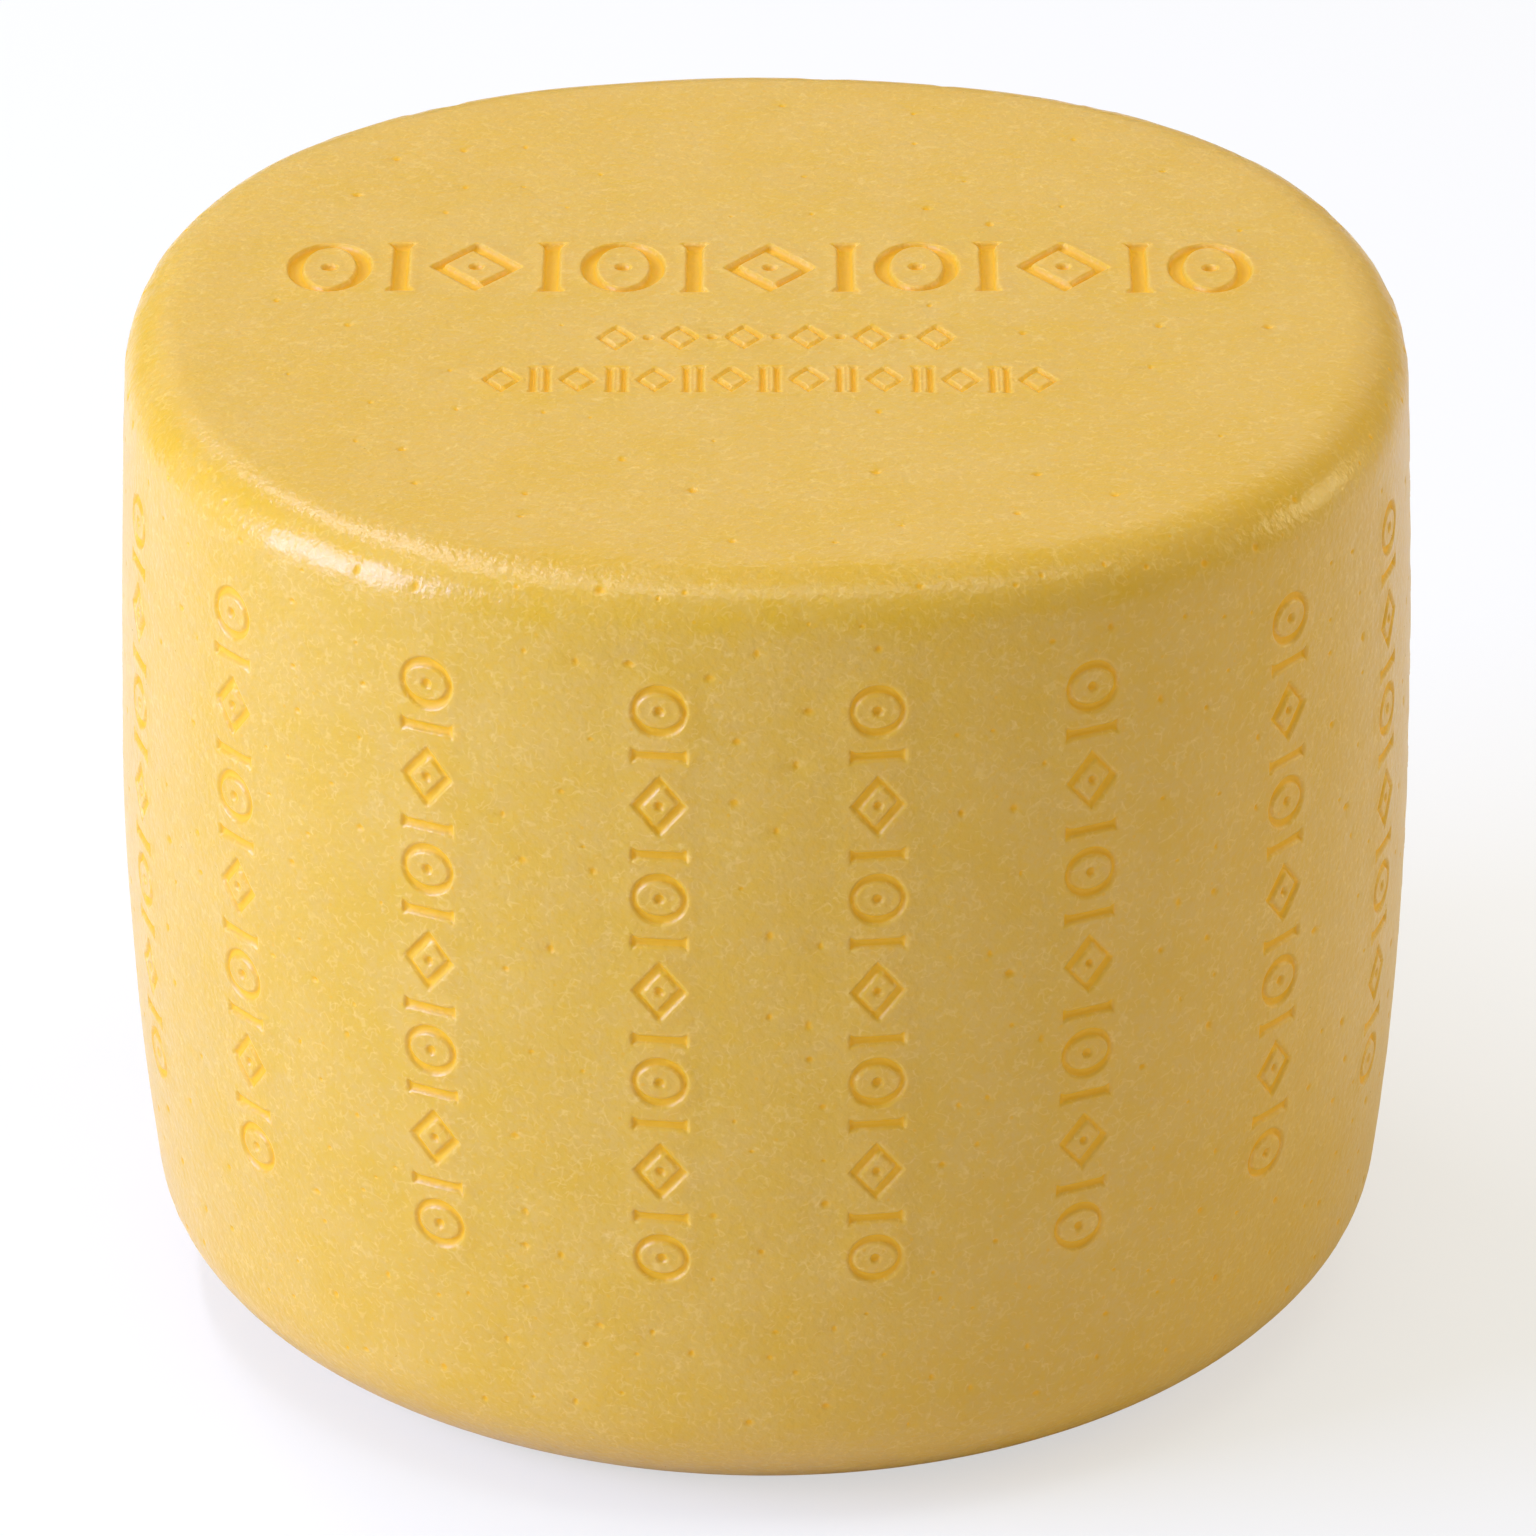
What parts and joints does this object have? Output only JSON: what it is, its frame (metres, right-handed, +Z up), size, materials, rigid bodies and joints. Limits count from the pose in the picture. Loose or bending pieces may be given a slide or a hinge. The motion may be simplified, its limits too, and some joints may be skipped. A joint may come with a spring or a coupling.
{
  "type": "cheese wheel",
  "caption": "Whole, uncut wheel of hard cheese: a tall, slightly barrelled drum with rounded edges, a flat base and plain ornament pressed into its rind.",
  "frame": {"origin": "middle of the flat base, at floor level", "axes": "+Z up along the wheel's axis; -Y towards the front, the side that the rows on the top are read from; +X to the right as seen from the front"},
  "size_m": [0.3168, 0.3166, 0.2534],
  "materials": {
    "rind": "satin, pale ochre yellow hard cheese rind"
  },
  "bodies": {
    "root": {"wheel": "rind"}
  },
  "joints": []
}
